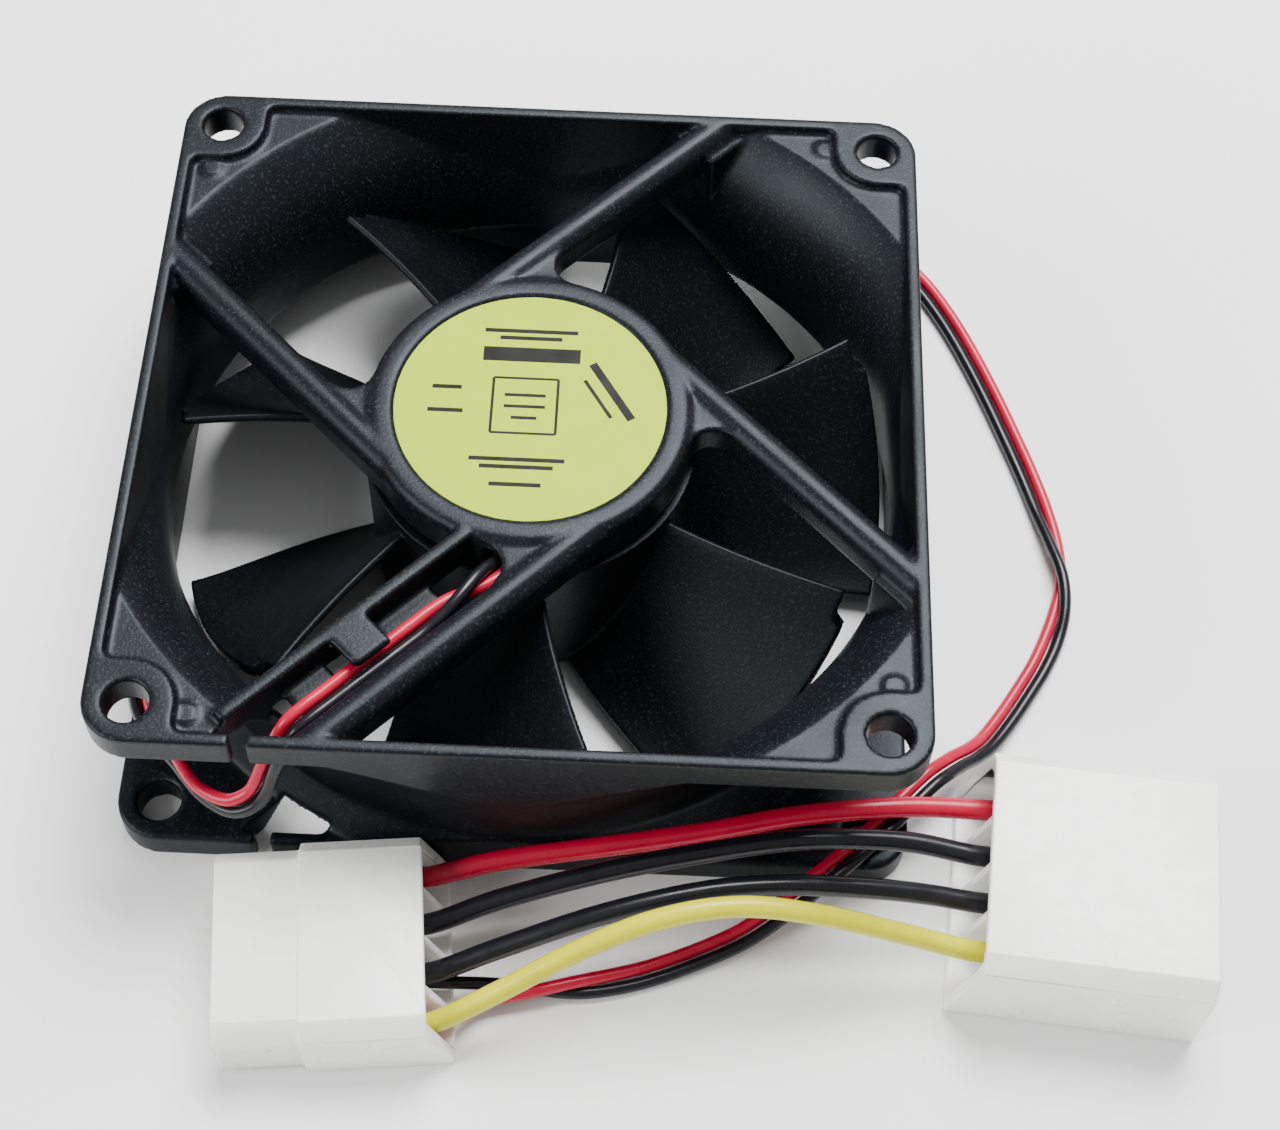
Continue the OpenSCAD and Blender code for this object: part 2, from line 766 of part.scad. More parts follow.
// Rear tray where the wires enter: long lower lip, sloping sides, and webs.
module connector_body(l, w, h) {
    lip = 2.4;
    wall = connector_wall;
    side_top = h - chamfer - 0.2;
    side = [[-lip, 0], [-lip, wall], [0, side_top], [3, side_top], [3, 0]];
    web = [
        [0.5 - lip, wall - 0.1], [0.6, h - wall + 0.1],
        [terminal_back + 0.2, h - wall + 0.1], [terminal_back + 0.2, wall - 0.1]
    ];
    difference() {
        union() {
            connector_block(l, w, h);
            translate([-lip, -w / 2, 0]) cube([lip + 2, w, wall]);
            for (y = [-w / 2, w / 2 - wall]) side_plate(y, wall, side);
        }
        translate([-lip - 1, 0, wall])
            connector_block(lip + 1 + terminal_back, w - 2 * wall, h - 2 * wall);
    }
    for (y = [-1, 0, 1]) side_plate(y * contact_pitch - 0.4, 0.8, web);
}

module socket_housing() {
    body_l = 12;
    step = 0.5;
    color([0.94, 0.94, 0.92]) in_place(socket_place, socket_turn) difference() {
        union() {
            connector_body(body_l, socket_w, socket_h);
            translate([body_l - 1, 0, step])
                connector_block(socket_l + 1 - body_l, socket_w - 2 * step, socket_h - 2 * step);
        }
        along_lanes(socket_h / 2) translate([0, 0, terminal_back - 1])
            cylinder(r = bore_r, h = socket_l, $fn = 48);
    }
}

module contact_sockets() {
    color([0.85, 0.72, 0.4]) in_place(socket_place, socket_turn) along_lanes(socket_h / 2)
        translate([0, 0, terminal_back]) difference() {
            union() {
                cylinder(r = bore_r, h = 5, $fn = 48);
                translate([0, 0, 4]) cylinder(r = 1.6, h = 11.5, $fn = 48);
            }
            translate([0, 0, 6.5]) cylinder(r = 1.1, h = 12, $fn = 48);
        }
}

module pin_housing() {
    cavity_from = 9;
    color([0.93, 0.93, 0.91]) in_place(pin_place, pin_turn) difference() {
        connector_body(pin_l, pin_w, pin_h);
        translate([cavity_from, 0, connector_wall])
            connector_block(pin_l, pin_w - 2 * connector_wall, pin_h - 2 * connector_wall);
        along_lanes(pin_h / 2) translate([0, 0, terminal_back - 1])
            cylinder(r = bore_r, h = cavity_from, $fn = 48);
    }
}

module contact_pins() {
    pin_r = 1.05;
    pin_from = 5.4;
    pin_run = 9;
    color([0.85, 0.72, 0.4]) in_place(pin_place, pin_turn) along_lanes(pin_h / 2)
        translate([0, 0, terminal_back]) {
            cylinder(r = bore_r, h = pin_from, $fn = 48);
            translate([0, 0, pin_from]) cylinder(r = pin_r, h = pin_run, $fn = 48);
            translate([0, 0, pin_from + pin_run]) cylinder(r1 = pin_r, r2 = 0.6, h = 0.8, $fn = 48);
        }
}

fan_frame();
label();
sleeve_bearing();
oil_ring();
thrust_washer();
stator_core();
lower_insulator();
upper_insulator();
stator_coils();
winding_pins();
circuit_board();
hall_sensor();
driver_chip();
capacitor();
solder_joints();
impeller();
rotor_yoke();
ring_magnet();
rotor_shaft();
hub_bush();
retaining_clip();
lead_red();
lead_black();
jumper_red();
jumper_black_inner();
jumper_black_outer();
jumper_yellow();
pin_housing();
contact_pins();
socket_housing();
contact_sockets();
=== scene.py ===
"""Looks of the case fan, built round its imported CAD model.

Lengths are in millimetres until place() or MM turns them into metres. Angles are in degrees
until math.radians().
"""

import json
import math

import bmesh
import bpy
from mathutils import Matrix, Vector


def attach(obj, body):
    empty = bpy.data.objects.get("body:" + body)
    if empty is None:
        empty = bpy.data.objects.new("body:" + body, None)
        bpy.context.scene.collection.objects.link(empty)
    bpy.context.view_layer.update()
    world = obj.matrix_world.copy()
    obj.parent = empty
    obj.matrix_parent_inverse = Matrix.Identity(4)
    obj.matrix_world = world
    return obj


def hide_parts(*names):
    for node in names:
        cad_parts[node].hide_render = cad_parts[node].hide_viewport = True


MM = 0.001
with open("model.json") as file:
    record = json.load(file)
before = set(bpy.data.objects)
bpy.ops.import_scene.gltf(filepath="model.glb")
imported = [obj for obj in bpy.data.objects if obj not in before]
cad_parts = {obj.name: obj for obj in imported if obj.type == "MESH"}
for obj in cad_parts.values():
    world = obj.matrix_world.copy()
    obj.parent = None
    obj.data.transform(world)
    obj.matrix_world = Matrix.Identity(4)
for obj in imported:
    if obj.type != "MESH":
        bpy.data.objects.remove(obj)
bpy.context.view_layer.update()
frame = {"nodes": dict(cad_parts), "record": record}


def place(point):
    """A point in millimetres as a vector in metres."""
    return Vector(point) * MM


def link(obj):
    bpy.context.scene.collection.objects.link(obj)
    return obj


# ---- camera ----

CAMERA_AT = (10.957, -136.094, 217.075)
CAMERA_ELEVATION = math.radians(58.648)
CAMERA_AZIMUTH = math.radians(0.962)
CAMERA_ROLL = math.radians(-1.696)
SENSOR_WIDTH, FOCAL_LENGTH = 36, 65.27
SHIFT_X, SHIFT_Y = 0.0226, 0.0031
NEAREST_M = 0.01


def make_camera():
    data = bpy.data.cameras.new("camera")
    data.sensor_width = SENSOR_WIDTH
    data.lens = FOCAL_LENGTH
    data.shift_x = SHIFT_X
    data.shift_y = SHIFT_Y
    data.clip_start = NEAREST_M
    camera = link(bpy.data.objects.new("camera", data))
    level, turn = CAMERA_ELEVATION, CAMERA_AZIMUTH
    ahead = Vector(
        (-math.sin(turn) * math.cos(level), math.cos(turn) * math.cos(level), -math.sin(level))
    )
    right = Vector((math.cos(turn), math.sin(turn), 0))
    down = ahead.cross(right)
    right, down = (
        math.cos(CAMERA_ROLL) * right + math.sin(CAMERA_ROLL) * down,
        math.cos(CAMERA_ROLL) * down - math.sin(CAMERA_ROLL) * right,
    )
    axes = Matrix((right, -down, -ahead)).transposed()
    camera.matrix_world = Matrix.Translation(place(CAMERA_AT)) @ axes.to_4x4()
    bpy.context.scene.camera = camera


make_camera()

# ---- wires: the routes are those of part.scad ----

# Steps of the curve between two points of a route
PAIR_STEPS, LEAD_STEPS, JUMPER_STEPS = 2, 4, 8
# Free height under a lying wire, and between two wires that share a terminal
FLOOR_GAP, WIRE_GAP = 0.02, 0.05
LEAD_D = 1.3
LEAD_PITCH = 1.46
JUMPER_D = 2.1
CONTACT_PITCH = 5.08
TERMINAL_BACK = 3.6
SOCKET_AT, SOCKET_TURN, SOCKET_H = (-7.4, -50.7), math.radians(186), 9.4
PIN_AT, PIN_TURN, PIN_H = (46.9, -41.5), math.radians(-5), 12.2
# X, Y, height and roll of the pair
LEAD_ROUTE = [
    (-0.6, -15.4, 22.1, 180), (-2, -17.8, 22.3, 190), (-4, -20, 22.9, 250),
    (-6.4, -22.4, 23.1, 320), (-9.2, -25.2, 22.7, 360), (-13.3, -29.3, 22.7, 360),
    (-17.2, -33.2, 22.7, 360), (-20.2, -36.2, 22.5, 360), (-21.7, -37.7, 20.2, 360),
    (-22.9, -38.9, 17.6, 365), (-24.2, -40.2, 14.9, 390), (-26.8, -40.6, 13.3, 430),
    (-30.2, -38.6, 12.4, 450), (-33, -35, 11.4, 440), (-35.5, -31.6, 10.4, 410),
    (-37.6, -28.2, 9.4, 380), (-39.2, -22.4, 7.8, 365), (-41.2, -14, 5.8, 360),
    (-42.2, 0, 3.4, 360), (-42.6, 14, 1.6, 360), (-42.6, 25, 1, 360),
    (-42.2, 33.5, 0.9, 360), (-40.5, 39.5, 0.8, 360), (-36, 42.6, 0.8, 360),
    (-26, 45.4, 0.8, 360), (-10, 46.6, 1.1, 330), (6, 46.6, 1.45, 270),
    (22, 46.2, 1.1, 210), (34, 44, 0.8, 180), (41, 39.8, 0.8, 180),
    (45.6, 33.6, 0.8, 180), (49.6, 25, 0.8, 180), (53.2, 15.2, 0.8, 180),
    (56.2, 5.6, 0.8, 190), (57.8, -3.6, 1.45, 270), (56.4, -10.8, 0.8, 350),
    (53.2, -17.2, 0.8, 360), (48.8, -24, 1.6, 360), (45.6, -27, 3.2, 360),
    (42.4, -30, 4.6, 360), (38.4, -34.4, 4.7, 360), (35.2, -37.8, 4.7, 360),
    (31.4, -41.4, 4.7, 360), (27.6, -44.4, 3.6, 360), (23, -47.2, 1.6, 360),
    (14.6, -50.8, 0.8, 370), (7.6, -52.8, 1.35, 420), (2.2, -53.4, 1.5, 500),
]
BLACK_START = [(-2.6, -10.8, 21.35), (-2.2, -13, 21.5)]
RED_START = [(1.2, -11.6, 21.35), (0.9, -13.4, 21.5)]
BLACK_END = [(-1.6, -53.2, 2.2), (-5, -53.5, 2.8)]
RED_END = [(-1.6, -55, 2), (-5, -57.4, 2.7)]
RED_MIDDLE = [
    (-7.6, -43.2, 4.6), (-0.8, -41.8, 6), (9, -40.6, 7.6), (18.9, -38.8, 8),
    (28.8, -36.3, 7.8), (39, -34.4, 6.8), (46.6, -34, 6.2),
]
INNER_BLACK_MIDDLE = [
    (-7.2, -48.3, 4.8), (-0.5, -46.2, 6.6), (9.2, -43.9, 8.8), (18.9, -41.7, 9.6),
    (28.7, -39.6, 9.2), (38.8, -38.4, 7.4), (46.2, -39, 6.2),
]
OUTER_BLACK_MIDDLE = [
    (-6.8, -53.4, 4.8), (-0.1, -51.4, 7), (9.4, -48.8, 10), (18.9, -46.4, 11),
    (26.6, -45.1, 10.6), (34.5, -44.3, 9), (40.6, -43.9, 7.4), (45.8, -44, 6.2),
]
YELLOW_MIDDLE = [
    (-6.2, -58.4, 4.8), (0.2, -56, 7.6), (7.7, -53, 11.4), (15.1, -50.4, 13.5),
    (22.6, -48.9, 13.8), (30.3, -48.6, 12), (38.3, -48.8, 9), (45.4, -49.1, 6.2),
]


def smooth(points, steps):
    """Catmull-Rom curve through the points."""
    points = [Vector(p) for p in points]
    last = len(points) - 1
    out = []
    for i in range(last):
        a, b, c, d = points[max(i - 1, 0)], points[i], points[i + 1], points[min(i + 2, last)]
        for k in range(steps):
            t = k / steps
            out.append(
                0.5
                * (
                    2 * b
                    + (c - a) * t
                    + (2 * a - 5 * b + 4 * c - d) * t**2
                    + (3 * b - a - 3 * c + d) * t**3
                )
            )
    return out + [points[last]]


def terminal(at, turn, lane, height):
    """Where a wire meets its terminal inside a connector."""
    along = Vector((math.cos(turn), math.sin(turn), 0))
    across = Vector((-math.sin(turn), math.cos(turn), 0))
    return Vector((*at, height)) + along * TERMINAL_BACK + across * lane * CONTACT_PITCH


def lead_end(lane):
    """Where a wire of the lead meets its terminal, just under the jumper that shares it."""
    drop = (JUMPER_D + LEAD_D) / 2 + WIRE_GAP
    return terminal(SOCKET_AT, SOCKET_TURN, lane, SOCKET_H / 2 - drop)


def pair_route(side):
    """Route of one wire of the lead: side is 1 for red and -1 for black."""
    centre = smooth(LEAD_ROUTE, PAIR_STEPS)
    points = [p.to_3d() for p in centre]
    out = []
    for i, point in enumerate(points):
        ahead = (points[min(i + 1, len(points) - 1)] - points[max(i - 1, 0)]).normalized()
        right = ahead.cross(Vector((0, 0, 1))).normalized()
        up = right.cross(ahead)
        roll = math.radians(centre[i][3])
        moved = point + side * LEAD_PITCH / 2 * (math.cos(roll) * right + math.sin(roll) * up)
        moved.z = max(moved.z, LEAD_D / 2 + FLOOR_GAP)
        out.append(moved)
    return out


# ---- materials ----


class Finish:
    """A material under construction: a Principled shader fed by nodes on object coordinates."""

    def __init__(self, name, **constants):
        self.material = bpy.data.materials.new(name)
        self.material.use_nodes = True
        self.tree = self.material.node_tree
        self.shader = self.tree.nodes["Principled BSDF"]
        self.point = self.add("ShaderNodeTexCoord").outputs["Object"]
        self.set(**constants)

    def feed(self, socket, value):
        if isinstance(value, bpy.types.NodeSocket):
            self.tree.links.new(value, socket)
        else:
            socket.default_value = value

    def set(self, **values):
        """Shader inputs by name, with underscores for spaces: coat_weight=0.3."""
        named = {s.name.lower().replace(" ", "_"): s for s in self.shader.inputs}
        for key, value in values.items():
            self.feed(named[key], value)

    def add(self, kind, inputs=None, **settings):
        node = self.tree.nodes.new(kind)
        for key, value in settings.items():
            setattr(node, key, value)
        for key, value in (inputs or {}).items():
            self.feed(node.inputs[key], value)
        return node

    def math(self, operation, a, b=0.0):
        return self.add("ShaderNodeMath", {0: a, 1: b}, operation=operation).outputs[0]

    def noise(self, size, detail=3.0, stretch=(1, 1, 1)):
        """Noise whose features are about size millimetres across."""
        point = self.add("ShaderNodeMapping", {"Vector": self.point, "Scale": stretch})
        return self.add(
            "ShaderNodeTexNoise",
            {"Vector": point.outputs[0], "Scale": 1 / (size * MM), "Detail": detail},
        ).outputs["Fac"]

    def ramp(self, value, *stops):
        """Colours at places along value; a number is a grey."""
        node = self.add("ShaderNodeValToRGB", {"Fac": value})
        elements = node.color_ramp.elements
        while len(elements) < len(stops):
            elements.new(0.5)
        for element, (at, colour) in zip(elements, stops):
            element.position = at
            element.color = (*((colour,) * 3 if isinstance(colour, float) else colour), 1)
        return node.outputs["Color"]

    def bump(self, height, depth, strength=1.0):
        node = self.add(
            "ShaderNodeBump", {"Height": height, "Distance": depth * MM, "Strength": strength}
        )
        self.set(normal=node.outputs["Normal"])


def mixed(colour, share):
    """The colour, darker or lighter by a share."""
    return tuple(min(1.0, c * (1 + share)) for c in colour)


def moulded_black(name, base, gloss):
    """Glass-filled moulding: fine grain, pale specks, and patches of more or less shine."""
    finish = Finish(name, specular_ior_level=0.17, specular_tint=(0.82, 0.92, 1.0, 1.0))
    grain = finish.noise(0.3, 5)
    finish.set(
        base_color=finish.ramp(
            grain, (0.3, mixed(base, -0.4)), (0.58, base), (0.68, mixed(base, 3.5))
        ),
        roughness=finish.ramp(finish.noise(7, 4), (0.3, gloss), (0.7, gloss + 0.1)),
    )
    finish.bump(grain, 0.03, 0.8)
    return finish.material


def moulded_nylon(name):
    """Unfilled nylon: white, a little see-through, faintly wavy from the mould."""
    finish = Finish(
        name,
        subsurface_weight=0.35,
        subsurface_radius=(1.0, 0.95, 0.85),
        subsurface_scale=0.0012,
        specular_ior_level=0.5,
    )
    cloud = finish.noise(4, 3)
    finish.set(
        base_color=finish.ramp(cloud, (0.3, (0.86, 0.86, 0.83)), (0.7, (0.93, 0.93, 0.91))),
        roughness=finish.ramp(finish.noise(1.2, 3), (0.3, 0.26), (0.7, 0.38)),
    )
    finish.bump(cloud, 0.03)
    return finish.material


def pvc(name, colour):
    """Wire insulation: smooth and glossy, a little lighter and darker along the wire."""
    finish = Finish(name, specular_ior_level=0.3)
    mottle = finish.noise(5, 2)
    finish.set(
        base_color=finish.ramp(mottle, (0.3, mixed(colour, -0.08)), (0.7, mixed(colour, 0.08))),
        roughness=finish.ramp(finish.noise(2.5, 2), (0.3, 0.22), (0.7, 0.32)),
    )
    finish.bump(finish.noise(0.5, 2), 0.006)
    return finish.material


def metal(name, colour, low, high, stretch=(1, 1, 1), size=0.6):
    """Metal whose roughness runs from low to high along streaks of the given stretch."""
    finish = Finish(name, metallic=1.0)
    streak = finish.noise(size, 4, stretch)
    finish.set(
        base_color=finish.ramp(streak, (0.3, mixed(colour, -0.2)), (0.7, mixed(colour, 0.1))),
        roughness=finish.ramp(streak, (0.3, low), (0.7, high)),
    )
    finish.bump(streak, 0.01)
    return finish.material


def plain_moulding(name, colour, roughness, size=0.8):
    """A plain part with faint clouds about size millimetres across."""
    finish = Finish(name)
    cloud = finish.noise(size, 4)
    finish.set(
        base_color=finish.ramp(cloud, (0.3, mixed(colour, -0.15)), (0.7, mixed(colour, 0.1))),
        roughness=finish.ramp(cloud, (0.3, roughness), (0.7, roughness + 0.12)),
    )
    finish.bump(cloud, 0.02)
    return finish.material


FILM_SHADE, FILM_COLOUR = (0.34, 0.46, 0.0005), (0.38, 0.51, 0.001)
INK_COLOUR, INK_AT = (0.003, 0.004, 0.002), 0.9
MOTTLE = 0.08
# Print on the label: x, y, width, height and turn of each bar
LABEL_BARS = [
    (-0.2, 6.4, 10, 1.8, 0),
    (-0.4, 9.4, 9.6, 0.5, 0),
    (-0.4, 8.5, 6.4, 0.5, 0),
    (-1.0, -6.6, 9.6, 0.5, 0),
    (-1.0, -7.5, 7.4, 0.5, 0),
    (-1.0, -9.6, 5.2, 0.5, 0),
    (8.2, 2.2, 8.0, 0.9, -58),
    (6.8, 1.2, 5.4, 0.4, -58),
    (-8.6, 2.0, 3.0, 0.5, 0),
    (-8.6, -0.9, 3.6, 0.5, 0),
    (-0.6, 3.4, 6.6, 0.3, 0),
    (-0.6, -3.4, 6.6, 0.3, 0),
    (-3.9, 0, 0.3, 6.8, 0),
    (2.7, 0, 0.3, 6.8, 0),
    (-0.6, 1.3, 4.2, 0.4, 0),
    (-0.6, -0.1, 4.2, 0.4, 0),
    (-0.6, -1.5, 2.6, 0.4, 0),
]


def label_film(name):
    """Coloured film with a generic print of bars and a frame."""
    finish = Finish(name, specular_ior_level=0.08)
    ink = 0.0
    for x, y, width, height, turn in LABEL_BARS:
        moved = finish.add(
            "ShaderNodeMapping",
            {
                "Vector": finish.point,
                "Location": place((x, y, 0)),
                "Rotation": (0, 0, math.radians(turn)),
            },
            vector_type="TEXTURE",
        )
        parts = finish.add("ShaderNodeSeparateXYZ", {0: moved.outputs[0]}).outputs
        inside_x = finish.math("LESS_THAN", finish.math("ABSOLUTE", parts[0]), width / 2 * MM)
        inside_y = finish.math("LESS_THAN", finish.math("ABSOLUTE", parts[1]), height / 2 * MM)
        ink = finish.math("MAXIMUM", finish.math("MULTIPLY", inside_x, inside_y), ink)
    mottle = finish.math("MULTIPLY", finish.noise(5, 3), MOTTLE)
    finish.set(
        base_color=finish.ramp(
            finish.math("ADD", finish.math("MULTIPLY", ink, INK_AT), mottle),
            (0.0, FILM_SHADE),
            (0.09, FILM_COLOUR),
            (INK_AT, INK_COLOUR),
        ),
        roughness=finish.ramp(finish.noise(2, 3), (0.3, 0.34), (0.7, 0.44)),
    )
    finish.bump(finish.noise(1.4, 2), 0.01)
    return finish.material


# How streaks are stretched along X, Y and Z
LAMINATED = (0.05, 0.05, 6)
DRAWN_ROUND = (1, 1, 0.1)
WOUND = (0.2, 0.2, 4)
TURNED = (0.3, 0.3, 5)
STAMPED = (5, 0.4, 5)
FINISHES = {
    "black_plastic": moulded_black("frame_plastic", (0.0042, 0.0052, 0.007), 0.33),
    "rotor_plastic": moulded_black("impeller_plastic", (0.0024, 0.0026, 0.0038), 0.38),
    "label_film": label_film("label_film"),
    "bronze": metal("sintered_bronze", (0.5, 0.36, 0.2), 0.45, 0.65, size=0.15),
    "black_rubber": plain_moulding("black_rubber", (0.03, 0.03, 0.03), 0.7),
    "nylon_washer": plain_moulding("nylon_washer", (0.82, 0.8, 0.72), 0.4),
    "lamination": metal("laminated_steel", (0.5, 0.51, 0.53), 0.35, 0.6, LAMINATED),
    "insulator": plain_moulding("insulator_nylon", (0.86, 0.84, 0.76), 0.42),
    "copper": metal("enamelled_copper", (0.72, 0.34, 0.14), 0.22, 0.36, WOUND),
    "tinned": metal("tinned_wire", (0.75, 0.75, 0.76), 0.2, 0.35),
    "board": plain_moulding("solder_mask", (0.03, 0.2, 0.08), 0.3),
    "epoxy": plain_moulding("chip_epoxy", (0.03, 0.03, 0.03), 0.5, 0.3),
    "ceramic": plain_moulding("ceramic", (0.55, 0.42, 0.26), 0.45, 0.3),
    "steel": metal("zinc_steel", (0.62, 0.63, 0.65), 0.28, 0.45, DRAWN_ROUND),
    "ferrite": plain_moulding("ferrite", (0.07, 0.065, 0.062), 0.65),
    "shaft_steel": metal("ground_steel", (0.76, 0.77, 0.79), 0.14, 0.24, DRAWN_ROUND, 0.2),
    "brass": metal("turned_brass", (0.8, 0.6, 0.28), 0.22, 0.36, TURNED, 0.3),
    "clip_steel": metal("oiled_steel", (0.2, 0.2, 0.22), 0.35, 0.5),
    "red_pvc": pvc("red_pvc", (0.42, 0.004, 0.03)),
    "black_pvc": pvc("black_pvc", (0.006, 0.006, 0.009)),
    "yellow_pvc": pvc("yellow_pvc", (0.52, 0.5, 0.0005)),
    "white_nylon": moulded_nylon("white_nylon"),
    "contact_brass": metal("contact_brass", (0.83, 0.7, 0.42), 0.2, 0.34, STAMPED, 0.3),
}


def dress(obj, slot):
    obj.data.materials.clear()
    obj.data.materials.append(FINISHES[slot])


for part in frame["record"]["subparts"]:
    dress(frame["nodes"][part["node"]], part["material_slot"])

# ---- mouldings with rounded edges ----

WELD = 0.002
EDGE_ANGLE, EDGE_SEGMENTS, CONNECTOR_EDGE = 35, 2, 0.25
SMOOTHING = 0.5
# Size of the grid, smoothing passes and share of the faces kept
FRAME_GRID = (0.3, 5, 0.28)
IMPELLER_GRID = (0.2, 4, 0.2)


def stand_in(piece, node):
    """Puts a new piece in the place of a CAD node, with the node's body and finish."""
    record = frame["record"]
    slot = next(p["material_slot"] for p in record["subparts"] if p["node"] == node)
    body = next(b for b, nodes in record["behaviour"]["bodies"].items() if node in nodes)
    link(piece)
    dress(piece, slot)
    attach(piece, body)
    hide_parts(node)
    return piece


def shade(mesh):
    mesh.polygons.foreach_set("use_smooth", [True] * len(mesh.polygons))
    mesh.set_sharp_from_angle(angle=math.radians(EDGE_ANGLE))


def round_edges(piece, width):
    bevel = piece.modifiers.new("round_edges", "BEVEL")
    bevel.width = width * MM
    bevel.segments = EDGE_SEGMENTS
    bevel.limit_method = "ANGLE"
    bevel.angle_limit = math.radians(EDGE_ANGLE)
    bevel.use_clamp_overlap = False
    bevel.harden_normals = True


def rounded_copy(node, name, width):
    """A copy of a CAD node with its edges rounded."""
    shape = bmesh.new()
    shape.from_mesh(frame["nodes"][node].data)
    bmesh.ops.remove_doubles(shape, verts=shape.verts, dist=WELD * MM)
    mesh = bpy.data.meshes.new(name)
    shape.to_mesh(mesh)
    shape.free()
    shade(mesh)
    piece = stand_in(bpy.data.objects.new(name, mesh), node)
    round_edges(piece, width)


def keep_largest(mesh):
    """Drops every loose crumb of a mesh, so that one connected shell is left."""
    shape = bmesh.new()
    shape.from_mesh(mesh)
    left = set(shape.faces)
    parts = []
    while left:
        part, ahead = [], [left.pop()]
        while ahead:
            face = ahead.pop()
            part.append(face)
            for edge in face.edges:
                for other in edge.link_faces:
                    if other in left:
                        left.remove(other)
                        ahead.append(other)
        parts.append(part)
    parts.sort(key=len)
    crumbs = [face for part in parts[:-1] for face in part]
    bmesh.ops.delete(shape, geom=crumbs, context="FACES")
    shape.to_mesh(mesh)
    shape.free()


def even_out(piece, voxel, passes, kept):
    """Puts a piece on a fine even grid and smooths it, for the soft edges of a moulding."""
    grid = piece.modifiers.new("grid", "REMESH")
    grid.mode = "VOXEL"
    grid.voxel_size = voxel * MM
    grid.use_smooth_shade = True
    even = piece.modifiers.new("even", "SMOOTH")
    even.factor = SMOOTHING
    even.iterations = passes
    fewer = piece.modifiers.new("fewer", "DECIMATE")
    fewer.ratio = kept
    made = piece.evaluated_get(bpy.context.evaluated_depsgraph_get())
    mesh = bpy.data.meshes.new_from_object(made)
    piece.modifiers.clear()
    keep_largest(mesh)
    piece.data = mesh
    mesh.name = piece.name


def moulded_copy(node, name):
    """A copy of a CAD node with a moulding's soft edges."""
    mesh = frame["nodes"][node].data.copy()
    mesh.name = name
    even_out(stand_in(bpy.data.objects.new(name, mesh), node), *FRAME_GRID)


moulded_copy("fan_frame", "frame_moulding")
rounded_copy("socket_housing", "socket_moulding", CONNECTOR_EDGE)
rounded_copy("pin_housing", "pin_moulding", CONNECTOR_EDGE)

# ---- impeller: part.scad's shape, on a finer grid ----

HUB_R, HUB_WALL, HUB_EDGE, HUB_FLOOR, HUB_TOP = 17.2, 1.1, 1.2, 1.0, 19.4
YOKE_FLOOR = 2.8
BOSS_R, BOSS_TOP, BUSH_R, BUSH_FLOOR = 4.2, 5.8, 3.0, 1.6
BLADES, BLADE_PHASE = 7, 25.1
ROOT_R, TIP_R = 16.6, 37.5
RELIEF_R, RELIEF_Z = 36.3, 16.0
BLADE_LOW, BLADE_RISE, BLADE_POWER = 2.3, 16.0, 1.45
# Turn of the blade's first edge at the tip, and how far either edge sweeps back at the root
FIRST_TURN, FIRST_SWEEP, SWEEP_POWER, LAST_SWEEP = -36.5, 12, 1.5, 6
# Half the blade's thickness at its edges, and what its middle adds
EDGE_HALF, MIDDLE_HALF = 0.35, 0.45
SLOPE_STEP = 0.01
BLADE_ROWS, BLADE_COLS, TURN_STEPS, EDGE_STEP = 22, 40, 144, 10


def hub_profile():
    """Radius and height round the hub's section, from the axis outside, up and back inside."""
    edge = [
        (
            HUB_R - HUB_EDGE + HUB_EDGE * math.sin(math.radians(a)),
            HUB_FLOOR + HUB_EDGE - HUB_EDGE * math.cos(math.radians(a)),
        )
        for a in range(0, 91, EDGE_STEP)
    ]
    inside = HUB_R - HUB_WALL
    return [
        (0, HUB_FLOOR), *edge, (HUB_R, HUB_TOP), (inside, HUB_TOP), (inside, YOKE_FLOOR),
        (BOSS_R, YOKE_FLOOR), (BOSS_R, BOSS_TOP), (BUSH_R, BOSS_TOP), (BUSH_R, BUSH_FLOOR),
        (0, BUSH_FLOOR),
    ]


def turned(profile):
    """Points and faces of a profile turned round the Z axis; its ends lie on the axis."""
    middle = profile[1:-1]
    points = [(0, 0, profile[0][1]), (0, 0, profile[-1][1])]
    for k in range(TURN_STEPS):
        a = 2 * math.pi * k / TURN_STEPS
        points += [(r * math.cos(a), r * math.sin(a), z) for r, z in middle]
    rows = len(middle)
    faces = []
    for k in range(TURN_STEPS):
        here, there = 2 + k * rows, 2 + (k + 1) % TURN_STEPS * rows
        faces.append((0, there, here))
        faces.append((1, here + rows - 1, there + rows - 1))
        for i in range(rows - 1):
            faces.append((here + i, there + i, there + i + 1, here + i + 1))
    return points, faces


def blade_middle(s, t):
    """Middle of the blade at share s of the span and t of the chord."""
    first = FIRST_TURN - FIRST_SWEEP * (1 - s) ** SWEEP_POWER
    last = -LAST_SWEEP * (1 - s)
    turn = math.radians(first + t * (last - first))
    z = BLADE_LOW + BLADE_RISE * t**BLADE_POWER
    r = ROOT_R + s * (TIP_R - ROOT_R)
    return Vector((r * math.cos(turn), r * math.sin(turn), z))


def blade_skin(s, t, side):
    """A point of the blade's upper (1) or lower (-1) skin."""
    here = blade_middle(s, t)
    ahead, behind = min(t + SLOPE_STEP, 1), max(t - SLOPE_STEP, 0)
    along = blade_middle(s, ahead) - blade_middle(s, behind)
    out = Vector((here.x, here.y, 0)).normalized()
    along -= along.dot(out) * out
    half = EDGE_HALF + MIDDLE_HALF * math.sqrt(max(0.0, math.sin(math.pi * t)))
    return here + side * half * out.cross(along).normalized()


